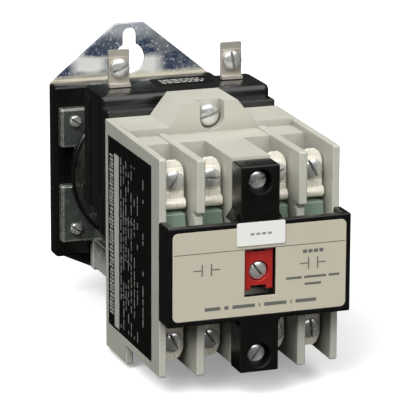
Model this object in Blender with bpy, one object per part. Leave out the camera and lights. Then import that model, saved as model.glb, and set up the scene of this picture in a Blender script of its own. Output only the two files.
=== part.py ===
"""Industrial control relay, four poles, modelled as its separate parts.

X runs to the right, Y from the front cover back to the wall, Z up. Every length below is in
millimetres. Depths are measured back from the front cover's face, heights from the cover's middle.
The wall plane is DEPTH behind the cover's face, and it is y = 0 in the finished model.
"""
import math

import bmesh
import bpy
from mathutils import Matrix, Vector

MM = 0.001
GAP = 0.3
DEPTH = 150.0

# Front cover and what sits in it
COVER_HALF_W = 35.0
COVER_HALF_H = 18.4
COVER_PLATE = 3.0
COVER_DEEP = 10.3
SKIRT_WALL = 3.0
PANEL_HALF_W = 33.1
PANEL_HALF_H = 16.4
PANEL_RECESS = 0.8
PANEL_THICK = 0.45
WINDOW_HALF_W = 5.95
WINDOW_TOP = 8.4
WINDOW_LOW = -9.4
EAR_HALF_W = 7.4
EAR_TOP = 38.8
EAR_LOW = -38.0
EAR_ROOT_HALF_W = 9.6
EAR_ROOT_RISE = 3.6
EAR_SCREW_TOP = 32.7
EAR_SCREW_LOW = -31.9
EAR_SCREW_FACE = 3.2
COUNTERBORE_R = 4.7
STICKER = (-9.1, 9.3, 9.7, 18.3)
STICKER_THICK = 0.15

# Contact block
BLOCK_FRONT = 10.6
BLOCK_REAR = 73.4
BLOCK_HALF_W = 34.5
BLOCK_TOP = 42.1
BLOCK_LOW = -39.6
PLATE_WALL = 2.7
PLATE_FRONT_TOP = 41.1
PLATE_FRONT_LOW = -40.2
DIVIDER_X = 19.5
DIVIDER_THICK = 3.1
DIVIDER_FRONT = 8.3
DIVIDER_HALF_H = 40.25
DIVIDER_FLARE = 0.5
DIVIDER_NOTCH = (18.9, 20.6)
DECK_DROP = 2.5
CAVITY_REAR = 38.3
STEP_DEPTH = 51.5
FOOT_FRONT = 49.0
FOOT_LOW = -46.6
TONGUE_RISE = 8.6
TONGUE_HALF_TOP = 10.2
TONGUE_HALF_BASE = 17.6
BLOCK_SCREW_IN = 2.8
BLOCK_SCREW_FACE = 54.4
SIDE_LABEL = (19.8, 70.0, -36.6, 36.5)
LABEL_THICK = 0.15
LABEL_RECESS = 0.5

# Poles
POLE_X = (-26.7, -12.6, 12.6, 26.7)
TERMINAL_HALF_W = 4.2
LIP_HALF_W = 4.5
LIP_R = 2.1
TERMINAL_FACE = 19.0
TERMINAL_SCREW_Z = 30.0
TERMINAL_HEAD_R = 3.7
CARTRIDGE_TOP = 18.0
CARTRIDGE_FRONT = 16.0
CARTRIDGE_DEEP = 12.8
POLE_MID_Z = 1.2
LOWER_POLE_Z = POLE_MID_Z - 0.4
CONTACT_Z = 10.5

# Moving core
TRAVEL = 4.0
ARM_FRONT = 20.0
ARM_REAR = 26.0
ARM_HALF_H = 4.0
HUB_HALF_W = 5.2
HUB_HALF_H = 8.0
HUB_FRONT = 12.0
HUB_REAR = 40.0
STEM_R = 3.6
SPRING_R = 4.6
SPRING_WIRE_R = 0.5
BRIDGE_FRONT = 29.7
BRIDGE_THICK = 1.2
AXIS_Z = 0.0
ACTUATOR_FRONT = 1.6
ACTUATOR_SCREW_Z = -0.5

# Magnet
COIL_Z = 5.0
COIL_R = 29.5
COIL_FRONT = 100.3
COIL_REAR = 134.6
BORE_R = 11.4
YOKE_HALF_W = 32.9
YOKE_TOP = 31.8
YOKE_LOW = -22.8
YOKE_FRONT = 134.9
YOKE_REAR = 139.3
LEG_HALF_W = 20.0
LEG_THICK = 3.0
LEG_TOP_Z = 37.5
LEG_LOW_Z = -35.2
LEG_FRONT = 83.3
TAB_THICK = 3.0
POLE_PLATE_FRONT = 97.0
PLUNGER_R = 10.6
PLUNGER_REAR = 112.0
DISC_FRONT = 84.6
DISC_REAR = 88.6

# Coil housing
HOUSING_FRONT = 73.7
HOUSING_STEP = 80.0
HOUSING_REAR = 102.9
HOUSING_HALF_W = 34.1
HOUSING_TOP = 49.1
HOUSING_WALL = 2.5
FLANGE_HALF_W = 33.6
FLANGE_TOP = 44.6
FLANGE_LOW = -46.8
SIDE_LOW = 3.5
COIL_TERMINAL_X = 22.65
COIL_TERMINAL_HALF_W = 4.15
COIL_TERMINAL_TOP = 63.6
COIL_TERMINAL_FACE = 92.7
COIL_TERMINAL_SCREW_Z = 56.7

# Base
BASE_HALF_W = 34.1
PLATE_HALF_W = 33.3
BASE_FRONT = 139.6
BASE_REAR = 148.2
BASE_TOP = 39.9
BASE_LOW = -29.8
PLATE_FRONT = 148.5
PLATE_APEX = 62.0
PLATE_SHOULDER = 39.5
PLATE_FOOT = -42.6
APEX_HALF_W = 5.85
KEY_SLOT_HALF_W = 2.85
KEY_HOLE_R = 6.3
KEY_HOLE_Z = 47.5
KEY_SLOT_TOP = 59.9
YOKE_SCREW_X = 27.3
YOKE_SCREW_Z = (26.8, -17.1)


# ---------------------------------------------------------------- shapes

def new_object(name, mesh):
    """A scene object for a mesh."""
    obj = bpy.data.objects.new(name, mesh)
    bpy.context.scene.collection.objects.link(obj)
    return obj


def from_bmesh(bm):
    """A temporary solid from a bmesh, with its faces turned outwards."""
    bmesh.ops.recalc_face_normals(bm, faces=bm.faces)
    mesh = bpy.data.meshes.new("solid")
    bm.to_mesh(mesh)
    bm.free()
    return new_object("solid", mesh)


def extrude(outline, axis, low, high):
    """A straight prism. The outline is (y, z) for axis x, (x, z) for axis y, (x, y) for axis z."""
    bm = bmesh.new()
    rows = []
    for level in (low, high):
        row = []
        for a, b in outline:
            point = {"x": (level, a, b), "y": (a, level, b), "z": (a, b, level)}[axis]
            row.append(bm.verts.new(point))
        rows.append(row)
    count = len(outline)
    for i in range(count):
        j = (i + 1) % count
        bm.faces.new((rows[0][i], rows[0][j], rows[1][j], rows[1][i]))
    bm.faces.new(rows[0])
    bm.faces.new(list(reversed(rows[1])))
    return from_bmesh(bm)


def box(x0, x1, y0, y1, z0, z1):
    """A plain box between three pairs of limits."""
    return extrude([(x0, z0), (x1, z0), (x1, z1), (x0, z1)], "y", y0, y1)


def lathe(profile, at=(0.0, 0.0, 0.0), segments=24):
    """A turned solid about a line along Y. The profile is (radius, y) from the front to the rear."""
    bm = bmesh.new()
    rings = []
    for radius, y in profile:
        ring = []
        steps = segments if radius > 0.0 else 1
        for i in range(steps):
            turn = 2.0 * math.pi * i / segments
            spot = (at[0] + radius * math.cos(turn), at[1] + y, at[2] + radius * math.sin(turn))
            ring.append(bm.verts.new(spot))
        rings.append(ring)
    for first, second in zip(rings, rings[1:]):
        for i in range(segments):
            j = (i + 1) % segments
            corners = [first[i % len(first)], first[j % len(first)]]
            corners += [second[j % len(second)], second[i % len(second)]]
            unique = list(dict.fromkeys(corners))
            if len(unique) > 2:
                bm.faces.new(unique)
    if len(rings[0]) > 1 and rings[0] is not rings[-1]:
        bm.faces.new(rings[0])
    if len(rings[-1]) > 1:
        bm.faces.new(list(reversed(rings[-1])))
    return from_bmesh(bm)


def rod(x, z, radius, y0, y1, segments=24):
    """A plain round bar along Y."""
    return lathe([(radius, y0), (radius, y1)], (x, 0.0, z), segments)


def sleeve(x, z, inner, outer, y0, y1, segments=40):
    """A tube along Y."""
    return cut(rod(x, z, outer, y0, y1, segments), [rod(x, z, inner, y0 - 1.0, y1 + 1.0, segments)])


def bake(obj):
    """Replace an object's mesh with what its modifiers make of it."""
    graph = bpy.context.evaluated_depsgraph_get()
    mesh = bpy.data.meshes.new_from_object(obj.evaluated_get(graph))
    obj.modifiers.clear()
    obj.data = mesh
    return obj


def combine(base, tools, operation):
    """Boolean a list of solids into the base, and drop them."""
    for tool in tools:
        modifier = base.modifiers.new("join", "BOOLEAN")
        modifier.operation = operation
        modifier.solver = "EXACT"
        modifier.object = tool
    bake(base)
    for tool in tools:
        bpy.data.objects.remove(tool)
    return base


def cut(base, tools):
    """Take the tools' shapes away from the base."""
    return combine(base, tools, "DIFFERENCE")


def join(base, tools):
    """Fuse the tools' shapes to the base."""
    return combine(base, tools, "UNION")


def bevel(obj, width, segments=2, angle=40.0):
    """Round an object's sharp edges."""
    modifier = obj.modifiers.new("edge", "BEVEL")
    modifier.width = width
    modifier.segments = segments
    modifier.limit_method = "ANGLE"
    modifier.angle_limit = math.radians(angle)
    return bake(obj)


def rounded(half_w, low, high, radius, steps=4):
    """A rounded rectangle's outline, centred on zero across."""
    corners = [(half_w, high, 0), (-half_w, high, 1), (-half_w, low, 2), (half_w, low, 3)]
    outline = []
    for x, z, quarter in corners:
        cx = x - math.copysign(radius, x)
        cz = z - radius if z == high else z + radius
        for i in range(steps + 1):
            turn = math.radians(90.0 * quarter + 90.0 * i / steps)
            outline.append((cx + radius * math.cos(turn), cz + radius * math.sin(turn)))
    return outline


def helix(x, z, radius, wire, y0, y1, turns, steps=14, sides=6):
    """A round-wire spring along Y, its wire ends cut square."""
    bm = bmesh.new()
    rings = []
    count = int(turns * steps)
    for i in range(count + 1):
        part = i / count
        turn = 2.0 * math.pi * turns * part
        out = Vector((math.cos(turn), 0.0, math.sin(turn)))
        middle = Vector((x, y0 + wire + (y1 - y0 - 2.0 * wire) * part, z)) + out * radius
        ring = []
        for k in range(sides):
            around = 2.0 * math.pi * k / sides
            offset = out * math.cos(around) * wire + Vector((0.0, math.sin(around) * wire, 0.0))
            ring.append(bm.verts.new(middle + offset))
        rings.append(ring)
    for first, second in zip(rings, rings[1:]):
        for k in range(sides):
            n = (k + 1) % sides
            bm.faces.new((first[k], first[n], second[n], second[k]))
    bm.faces.new(rings[0])
    bm.faces.new(list(reversed(rings[-1])))
    return from_bmesh(bm)


def slotted_screw(head_r, head_h, shank_r, shank_len, slot_turn=0.0, segments=14):
    """A pan-head screw. Its head's seat is at y = 0 and its shank runs back along +Y."""
    profile = [(0.0, -head_h), (head_r * 0.72, -head_h), (head_r, -head_h * 0.45), (head_r, 0.0)]
    profile += [(shank_r, 0.0), (shank_r, shank_len), (0.0, shank_len)]
    solid = lathe(profile, segments=segments)
    slot_half = head_r * 0.13
    slot = box(-head_r - 1.0, head_r + 1.0, -head_h - 1.0, -head_h * 0.5, -slot_half, slot_half)
    slot.data.transform(Matrix.Rotation(math.radians(slot_turn), 4, "Y"))
    return cut(solid, [slot])


def grip_groove(half_w, screw_z, face):
    """Cutter for the shallow groove across a terminal strip just above its screw's head."""
    low = screw_z + TERMINAL_HEAD_R + 0.5
    return box(-half_w - 1.0, half_w + 1.0, face - 1.0, face + 0.2, low, low + 0.4)


# ---------------------------------------------------------------- naming and finish

def material(name, colour, roughness, metallic=0.0):
    """A plain finish for one part."""
    mat = bpy.data.materials.new(name)
    mat.use_nodes = True
    shader = mat.node_tree.nodes["Principled BSDF"]
    shader.inputs["Base Color"].default_value = (*colour, 1.0)
    shader.inputs["Roughness"].default_value = roughness
    shader.inputs["Metallic"].default_value = metallic
    return mat


BLACK = ((0.018, 0.018, 0.016), 0.45, 0.0)
GREY = ((0.56, 0.55, 0.47), 0.55, 0.0)
CREAM = ((0.52, 0.49, 0.38), 0.5, 0.0)
RED = ((0.42, 0.02, 0.015), 0.4, 0.0)
GREEN = ((0.12, 0.26, 0.18), 0.45, 0.0)
WHITE = ((0.8, 0.8, 0.76), 0.6, 0.0)
STEEL = ((0.62, 0.62, 0.6), 0.3, 1.0)
ZINC = ((0.6, 0.63, 0.66), 0.25, 1.0)
NICKEL = ((0.72, 0.68, 0.58), 0.28, 1.0)
BRASS = ((0.7, 0.55, 0.3), 0.3, 1.0)
TAPE = ((0.022, 0.021, 0.02), 0.35, 0.0)


def tidy_faces(mesh):
    """Merge the flat patches a Boolean leaves in pieces, then split them into triangles."""
    bm = bmesh.new()
    bm.from_mesh(mesh)
    bmesh.ops.remove_doubles(bm, verts=bm.verts, dist=0.004)
    bmesh.ops.dissolve_degenerate(bm, edges=bm.edges, dist=0.004)
    bmesh.ops.dissolve_limit(bm, angle_limit=math.radians(0.05), verts=bm.verts, edges=bm.edges)
    bmesh.ops.triangulate(bm, faces=bm.faces)
    bm.to_mesh(mesh)
    bm.free()


def name_part(solid, name, finish, at=(0.0, 0.0, 0.0)):
    """Give a finished solid its name, finish and place, and turn its millimetres into metres."""
    tidy_faces(solid.data)
    solid.data.transform(Matrix.Scale(MM, 4))
    solid.name = name
    solid.data.name = name
    place(solid, at)
    solid.data.materials.clear()
    solid.data.materials.append(material(name, *finish))
    smooth_round_sides(solid)
    return solid


def place(obj, at):
    """Set an object's place from a width, a depth behind the cover's face and a height."""
    obj.location = (at[0] * MM, (at[1] - DEPTH) * MM, at[2] * MM)


def copy_part(source, name, at, turn=0.0):
    """Another part of the same shape, with its own finish."""
    obj = new_object(name, source.data)
    place(obj, at)
    obj.rotation_euler = (0.0, math.radians(turn), 0.0)
    return obj


def smooth_round_sides(obj):
    """Shade round sides smooth and keep the real corners sharp."""
    obj.data.shade_smooth()
    obj.data.set_sharp_from_angle(angle=math.radians(35.0))


# ---------------------------------------------------------------- base and magnet

def build_mounting_plate():
    """Hexagonal wall plate with a keyhole above and an open slot below."""
    outline = [(APEX_HALF_W, PLATE_APEX), (-APEX_HALF_W, PLATE_APEX)]
    outline += [(-PLATE_HALF_W, PLATE_SHOULDER), (-PLATE_HALF_W, BASE_LOW)]
    outline += [(-APEX_HALF_W, PLATE_FOOT), (APEX_HALF_W, PLATE_FOOT)]
    outline += [(PLATE_HALF_W, BASE_LOW), (PLATE_HALF_W, PLATE_SHOULDER)]
    plate = bevel(extrude(outline, "y", PLATE_FRONT, DEPTH), 0.25, 1)
    tools = [rod(0.0, KEY_HOLE_Z, KEY_HOLE_R, PLATE_FRONT - 1.0, DEPTH + 1.0, 36)]
    slot_top = KEY_SLOT_TOP - KEY_SLOT_HALF_W
    tools.append(box(-KEY_SLOT_HALF_W, KEY_SLOT_HALF_W, PLATE_FRONT - 1.0, DEPTH + 1.0,
                     KEY_HOLE_Z, slot_top))
    tools.append(rod(0.0, slot_top, KEY_SLOT_HALF_W, PLATE_FRONT - 1.0, DEPTH + 1.0, 24))
    foot_slot_top = PLATE_FOOT + 7.0
    tools.append(box(-KEY_SLOT_HALF_W, KEY_SLOT_HALF_W, PLATE_FRONT - 1.0, DEPTH + 1.0,
                     PLATE_FOOT - 1.0, foot_slot_top))
    tools.append(rod(0.0, foot_slot_top, KEY_SLOT_HALF_W, PLATE_FRONT - 1.0, DEPTH + 1.0, 24))
    for x in (-YOKE_SCREW_X, YOKE_SCREW_X):
        for z in YOKE_SCREW_Z:
            tools.append(rod(x, z, 1.8, PLATE_FRONT - 1.0, DEPTH + 1.0, 12))
    name_part(cut(plate, tools), "mounting_plate", ZINC)


def build_base_block():
    """Moulded block between the wall plate and the magnet."""
    block = bevel(box(-BASE_HALF_W, BASE_HALF_W, BASE_FRONT, BASE_REAR, BASE_LOW, BASE_TOP), 1.2)
    tools = []
    for x in (-YOKE_SCREW_X, YOKE_SCREW_X):
        for z in YOKE_SCREW_Z:
            tools.append(rod(x, z, 1.8, BASE_FRONT - 1.0, BASE_REAR + 1.0, 12))
    tools.append(rod(0.0, COIL_Z, 5.0, BASE_FRONT - 1.0, BASE_FRONT + 3.0, 24))
    name_part(cut(block, tools), "base_block", BLACK)


def build_yoke():
    """Folded steel yoke: back plate with four ears, two legs, and a turned-in tab on each leg."""
    notch_low, notch_top, notch_x = 0.6, 16.1, 27.0
    outline = [(-YOKE_HALF_W, YOKE_TOP), (-YOKE_HALF_W, notch_top), (-notch_x, notch_top)]
    outline += [(-notch_x, notch_low), (-YOKE_HALF_W, notch_low), (-YOKE_HALF_W, YOKE_LOW)]
    outline += [(-LEG_HALF_W, YOKE_LOW), (-LEG_HALF_W, LEG_LOW_Z)]
    outline += [(-x, z) for x, z in reversed(outline)]
    upper = LEG_TOP_Z + LEG_THICK
    outline += [(LEG_HALF_W, YOKE_TOP), (LEG_HALF_W, upper)]
    outline += [(-LEG_HALF_W, upper), (-LEG_HALF_W, YOKE_TOP)]
    outline = [p for i, p in enumerate(outline) if p != outline[i - 1]]
    yoke = bevel(extrude(outline, "y", YOKE_FRONT, YOKE_REAR), 0.7, 1)
    overlap = YOKE_FRONT + 2.0
    side, floor, rim = LEG_HALF_W - 0.2, LEG_LOW_Z + 0.2, LEG_LOW_Z + 13.0
    inner, deck = side - LEG_THICK, LEG_LOW_Z + LEG_THICK
    join(yoke, [box(-side, side, LEG_FRONT, overlap, LEG_TOP_Z, upper - 0.2)])
    channel = [(-side, floor + 1.5), (-side + 1.5, floor), (side - 1.5, floor), (side, floor + 1.5)]
    channel += [(side, rim), (inner, rim), (inner, deck), (-inner, deck), (-inner, rim), (-side, rim)]
    join(yoke, [extrude(channel, "y", LEG_FRONT, overlap)])
    tab_rear = LEG_FRONT + TAB_THICK
    join(yoke, [box(-15.0, 15.0, LEG_FRONT - 0.1, tab_rear, 29.5, upper - 1.0)])
    join(yoke, [box(-15.0, 15.0, LEG_FRONT - 0.1, tab_rear, LEG_LOW_Z + 1.0, -23.5)])
    tools = [rod(0.0, COIL_Z, 3.2, YOKE_FRONT - 1.0, YOKE_REAR + 1.0, 20)]
    for x in (-YOKE_SCREW_X, YOKE_SCREW_X):
        for z in YOKE_SCREW_Z:
            tools.append(rod(x, z, 1.8, YOKE_FRONT - 1.0, YOKE_REAR + 1.0, 12))
    for z in (33.5, -27.5):
        tools.append(rod(0.0, z, 1.8, LEG_FRONT - 1.0, LEG_FRONT + TAB_THICK + 1.0, 16))
    name_part(cut(yoke, tools), "magnet_yoke", ZINC)


def build_yoke_screws():
    """Four screws through the yoke's ears and the base block into the wall plate."""
    sides = (("left", -1.0), ("right", 1.0))
    levels = (("upper", YOKE_SCREW_Z[0]), ("lower", YOKE_SCREW_Z[1]))
    first = None
    for level, z in levels:
        for side, sign in sides:
            name = "yoke_screw_" + level + "_" + side
            at = (sign * YOKE_SCREW_X, YOKE_FRONT - 0.05, z)
            if first is None:
                first = name_part(slotted_screw(2.3, 1.7, 1.5, 14.5, 35.0), name, STEEL, at)
            else:
                copy_part(first, name, at)


def build_core():
    """Fixed core, riveted to the yoke's back plate."""
    profile = [(0.0, 116.4), (PLUNGER_R - 0.8, 116.4), (PLUNGER_R, 117.2), (PLUNGER_R, 134.6)]
    profile += [(2.9, 134.6), (2.9, 139.7), (4.5, 139.7), (4.5, 141.6), (0.0, 141.6)]
    name_part(lathe(profile, (0.0, 0.0, COIL_Z), 24), "magnet_core", STEEL)


def build_pole_plate():
    """Steel plate across the front of the coil, between the yoke's legs."""
    plate = box(-LEG_HALF_W + 3.4, LEG_HALF_W - 3.4, POLE_PLATE_FRONT, POLE_PLATE_FRONT + 3.0,
                LEG_LOW_Z + LEG_THICK + GAP, LEG_TOP_Z - GAP)
    hole = rod(0.0, COIL_Z, BORE_R, POLE_PLATE_FRONT - 1.0, POLE_PLATE_FRONT + 4.0, 32)
    name_part(cut(plate, [hole]), "front_pole_plate", STEEL)


def build_coil():
    """Bobbin and the taped winding on it."""
    parts = [(13.0, COIL_FRONT), (13.0, COIL_REAR)]
    bobbin = lathe(parts, (0.0, 0.0, COIL_Z), 32)
    flanges = [rod(0.0, COIL_Z, COIL_R, COIL_FRONT, COIL_FRONT + 2.4, 44)]
    flanges.append(rod(0.0, COIL_Z, COIL_R, COIL_REAR - 2.4, COIL_REAR, 44))
    join(bobbin, flanges)
    cut(bobbin, [rod(0.0, COIL_Z, BORE_R, COIL_FRONT - 1.0, COIL_REAR + 1.0, 24)])
    name_part(bobbin, "coil_bobbin", BLACK)
    low, high = COIL_FRONT + 2.4 + GAP, COIL_REAR - 2.4 - GAP
    winding = sleeve(0.0, COIL_Z, 13.0 + GAP, COIL_R - 0.9, low, high, 44)
    name_part(winding, "coil_winding", TAPE)


# ---------------------------------------------------------------- coil housing

def build_housing():
    """Moulded housing over the front of the coil, open at the rear and below."""
    top = [(-HOUSING_HALF_W, SIDE_LOW), (-HOUSING_HALF_W, HOUSING_TOP), (HOUSING_HALF_W, HOUSING_TOP),
           (HOUSING_HALF_W, SIDE_LOW)]
    body = bevel(extrude(top, "y", HOUSING_STEP, HOUSING_REAR), 2.4, 2)
    side = [(HOUSING_STEP, -4.8), (HOUSING_STEP, 10.0), (HOUSING_REAR, 10.0), (HOUSING_REAR, SIDE_LOW)]
    side += [(88.0, SIDE_LOW)]
    adds = [extrude(side, "x", -HOUSING_HALF_W, HOUSING_HALF_W)]
    outline = [(-FLANGE_HALF_W, FLANGE_TOP), (-FLANGE_HALF_W, -4.6), (-24.0, -13.0)]
    outline += [(-24.0, FLANGE_LOW)]
    outline += [(-x, z) for x, z in reversed(outline)]
    flange = extrude(outline, "y", HOUSING_FRONT, HOUSING_STEP + 2.8)
    adds.append(bevel(flange, 0.6, 1))
    join(body, adds)
    inner_w = HOUSING_HALF_W - HOUSING_WALL
    inside = box(-inner_w, inner_w, HOUSING_STEP + 2.8, HOUSING_REAR + 1.0, -20.0,
                 HOUSING_TOP - HOUSING_WALL)
    tools = [inside]
    tools.append(box(-32.6, 32.6, 97.0, HOUSING_REAR + 1.0, -20.0, HOUSING_TOP - 1.8))
    cut(body, tools)
    rails = []
    for sign in (-1.0, 1.0):
        x0, x1 = sorted((sign * (HOUSING_HALF_W - 0.6), sign * (HOUSING_HALF_W + 0.5)))
        rails.append(box(x0, x1, 93.5, 98.5, SIDE_LOW, HOUSING_TOP - 3.0))
    rails.append(box(-8.0, 8.0, HOUSING_STEP, 90.0, 41.2, HOUSING_TOP - 1.0))
    rails.append(box(-8.0, 8.0, HOUSING_STEP, 90.0, FLANGE_LOW + 0.4, FLANGE_LOW + 9.0))
    join(body, rails)
    holes = [rod(0.0, AXIS_Z, STEM_R + 0.6, HOUSING_FRONT - 1.0, HOUSING_STEP + 4.0, 24)]
    for z in (BLOCK_TOP + BLOCK_SCREW_IN, BLOCK_LOW - BLOCK_SCREW_IN):
        holes.append(rod(0.0, z, 2.5, HOUSING_FRONT - 1.0, 89.0, 14))
    for z in (33.5, -27.5):
        holes.append(rod(0.0, z, 2.0, HOUSING_FRONT - 1.0, HOUSING_STEP + 4.0, 16))
        holes.append(rod(0.0, z, 3.6, HOUSING_FRONT - 1.0, HOUSING_FRONT + 3.4, 16))
    for sign in (-1.0, 1.0):
        x = sign * COIL_TERMINAL_X
        holes.append(box(x - 2.8, x + 2.8, COIL_TERMINAL_FACE - 0.3, COIL_TERMINAL_FACE + 1.5,
                         38.0, HOUSING_TOP + 1.0))
    name_part(cut(body, holes), "coil_housing", BLACK)


def build_housing_screws():
    """Two screws that hold the housing to the yoke's turned-in tabs."""
    at = (0.0, HOUSING_FRONT + 3.1, 33.5)
    first = name_part(slotted_screw(3.1, 2.0, 1.5, 12.4, 60.0), "housing_screw_upper", STEEL, at)
    copy_part(first, "housing_screw_lower", (0.0, HOUSING_FRONT + 3.1, -27.5))


def build_coil_terminals():
    """Two upright tabs on top of the housing, each with its wire screw and a lead to the coil."""
    for side, sign in (("left", -1.0), ("right", 1.0)):
        face = COIL_TERMINAL_FACE
        tab = extrude(rounded(COIL_TERMINAL_HALF_W, HOUSING_TOP + GAP, COIL_TERMINAL_TOP, 0.4, 2),
                      "y", face, face + 1.2)
        foot = box(-COIL_TERMINAL_HALF_W, COIL_TERMINAL_HALF_W, face - 1.6, face + 0.6,
                   HOUSING_TOP + GAP, HOUSING_TOP + GAP + 1.2)
        stem = box(-2.4, 2.4, face, face + 1.2, 40.0, HOUSING_TOP + 1.0)
        lead = [box(-0.6, 0.6, face + 0.3, 105.5, 40.4, 41.6), box(-0.6, 0.6, 104.3, 105.5, 23.3, 41.6)]
        join(tab, [foot, stem])
        join(tab, lead)
        hole = rod(0.0, COIL_TERMINAL_SCREW_Z, 2.2, face - 2.0, face + 3.0, 14)
        cut(tab, [hole, grip_groove(COIL_TERMINAL_HALF_W, COIL_TERMINAL_SCREW_Z, face)])
        at = (sign * COIL_TERMINAL_X, 0.0, 0.0)
        name_part(tab, "coil_terminal_" + side, NICKEL, at)
        at = (sign * COIL_TERMINAL_X, face - 0.1, COIL_TERMINAL_SCREW_Z)
        turn = 20.0 if sign < 0.0 else 80.0
        screw = slotted_screw(TERMINAL_HEAD_R, 2.3, 1.9, 5.0, turn)
        name_part(screw, "coil_terminal_screw_" + side, STEEL, at)


# ---------------------------------------------------------------- contact block

def tongue(sign, base_z):
    """Sloped-sided lug at the rear, above or below, that takes the block's fixing screw."""
    tip = base_z + sign * TONGUE_RISE
    root = base_z - sign * 3.0
    outline = [(-TONGUE_HALF_BASE, root), (-TONGUE_HALF_BASE, base_z - sign * 0.8)]
    outline += [(-TONGUE_HALF_TOP, tip), (TONGUE_HALF_TOP, tip)]
    outline += [(TONGUE_HALF_BASE, base_z - sign * 0.8), (TONGUE_HALF_BASE, root)]
    return extrude(outline, "y", STEP_DEPTH, BLOCK_REAR)


def plate_outline():
    """The outer side plate's outline, (y, z): front edge a little lower than the rear, and its foot."""
    front, snub = BLOCK_FRONT, 0.6
    return [(BLOCK_REAR, BLOCK_TOP), (front + snub, PLATE_FRONT_TOP), (front, PLATE_FRONT_TOP - snub),
            (front, PLATE_FRONT_LOW + snub), (front + snub, PLATE_FRONT_LOW), (FOOT_FRONT, BLOCK_LOW),
            (FOOT_FRONT, FOOT_LOW), (BLOCK_REAR, FOOT_LOW)]


def divider_outline():
    """A divider's outline, (y, z): set back behind the cover, forward above and below it."""
    front, set_back, snub = DIVIDER_FRONT, BLOCK_FRONT, 0.6
    high, (notch_low, notch_high) = DIVIDER_HALF_H, DIVIDER_NOTCH
    upper = [(STEP_DEPTH + 1.0, high), (front + snub, high), (front, high - snub), (front, notch_high)]
    upper += [(set_back + 2.0, notch_high), (set_back + 2.0, notch_low), (set_back, notch_low)]
    return upper + [(y, -z) for y, z in reversed(upper)]


def divider(sign):
    """One divider, a little thicker towards the rear on its inner side."""
    half = DIVIDER_THICK / 2.0
    x = sign * DIVIDER_X
    wall = bevel(extrude(divider_outline(), "x", x - half, x + half), 0.35, 1)
    for vert in wall.data.vertices:
        if (vert.co.x / MM - x) * sign < 0.0:
            depth = vert.co.y / MM + DEPTH - DIVIDER_FRONT
            vert.co.x -= sign * DIVIDER_FLARE * depth / (CAVITY_REAR - DIVIDER_FRONT) * MM
    return wall


def build_block():
    """Moulded four-pole block: side plates, dividers, centre column, decks and screw tongues."""
    inner = BLOCK_HALF_W - PLATE_WALL
    body = box(-inner - 0.5, inner + 0.5, STEP_DEPTH, BLOCK_REAR, BLOCK_LOW, BLOCK_TOP)
    adds = [box(-inner - 0.5, inner + 0.5, CAVITY_REAR, STEP_DEPTH + 1.0, BLOCK_LOW + DECK_DROP,
                BLOCK_TOP - DECK_DROP)]
    adds.append(box(-EAR_HALF_W, EAR_HALF_W, BLOCK_FRONT, CAVITY_REAR + 1.0, BLOCK_LOW + DECK_DROP,
                    BLOCK_TOP - DECK_DROP))
    for sign in (-1.0, 1.0):
        x0, x1 = sorted((sign * inner, sign * BLOCK_HALF_W))
        adds.append(bevel(extrude(plate_outline(), "x", x0, x1), 0.3, 1))
        adds.append(divider(sign))
    adds.append(tongue(1.0, BLOCK_TOP))
    adds.append(tongue(-1.0, BLOCK_LOW))
    join(body, adds)

    tools = [box(-31.4, 31.4, DIVIDER_FRONT - 1.0, 31.0, AXIS_Z - ARM_HALF_H - 0.6,
                 AXIS_Z + ARM_HALF_H + 0.6)]
    tools.append(box(-WINDOW_HALF_W, WINDOW_HALF_W, BLOCK_FRONT - 1.0, HUB_REAR + TRAVEL + 1.0,
                     AXIS_Z - HUB_HALF_H - 1.4, AXIS_Z + HUB_HALF_H + 0.6))
    tools.append(rod(0.0, AXIS_Z, SPRING_R + 1.4, HUB_REAR, 70.0, 24))
    tools.append(rod(0.0, AXIS_Z, STEM_R + 0.5, 69.0, BLOCK_REAR + 1.0, 24))
    for sign in (-1.0, 1.0):
        x0, x1 = sorted((sign * 13.0, sign * 30.5))
        tools.append(box(x0, x1, 41.5, BLOCK_REAR + 1.0, -35.0, 37.0))
    for z in (EAR_SCREW_TOP, EAR_SCREW_LOW):
        tools.append(rod(0.0, z, 2.3, BLOCK_FRONT - 1.0, 27.0, 14))
    for sign, z in ((1.0, BLOCK_TOP + BLOCK_SCREW_IN), (-1.0, BLOCK_LOW - BLOCK_SCREW_IN)):
        seat = BLOCK_SCREW_FACE + 2.4
        tools.append(rod(0.0, z, 4.8, STEP_DEPTH - 1.0, seat, 24))
        z0, z1 = sorted((z, z + sign * 12.0))
        tools.append(box(-4.8, 4.8, STEP_DEPTH - 1.0, seat, z0, z1))
        tools.append(rod(0.0, z, 2.5, seat - 1.0, BLOCK_REAR + 1.0, 14))
    y0, y1, z0, z1 = SIDE_LABEL
    tools.append(box(-BLOCK_HALF_W - 1.0, -BLOCK_HALF_W + LABEL_RECESS, y0 - GAP, y1 + GAP,
                     z0 - GAP, z1 + GAP))
    name_part(cut(body, tools), "contact_block", GREY)
    label = box(-BLOCK_HALF_W + 0.05, -BLOCK_HALF_W + 0.05 + LABEL_THICK, y0, y1, z0, z1)
    name_part(label, "side_label", BLACK)


def build_block_screws():
    """Two large screws through the tongues into the coil housing."""
    seat = BLOCK_SCREW_FACE + 2.3
    at = (0.0, seat, BLOCK_TOP + BLOCK_SCREW_IN)
    screw = slotted_screw(4.0, 2.3, 2.2, 30.0, -15.0, 18)
    first = name_part(screw, "block_screw_upper", STEEL, at)
    copy_part(first, "block_screw_lower", (0.0, seat, BLOCK_LOW - BLOCK_SCREW_IN))


# ---------------------------------------------------------------- poles

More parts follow.
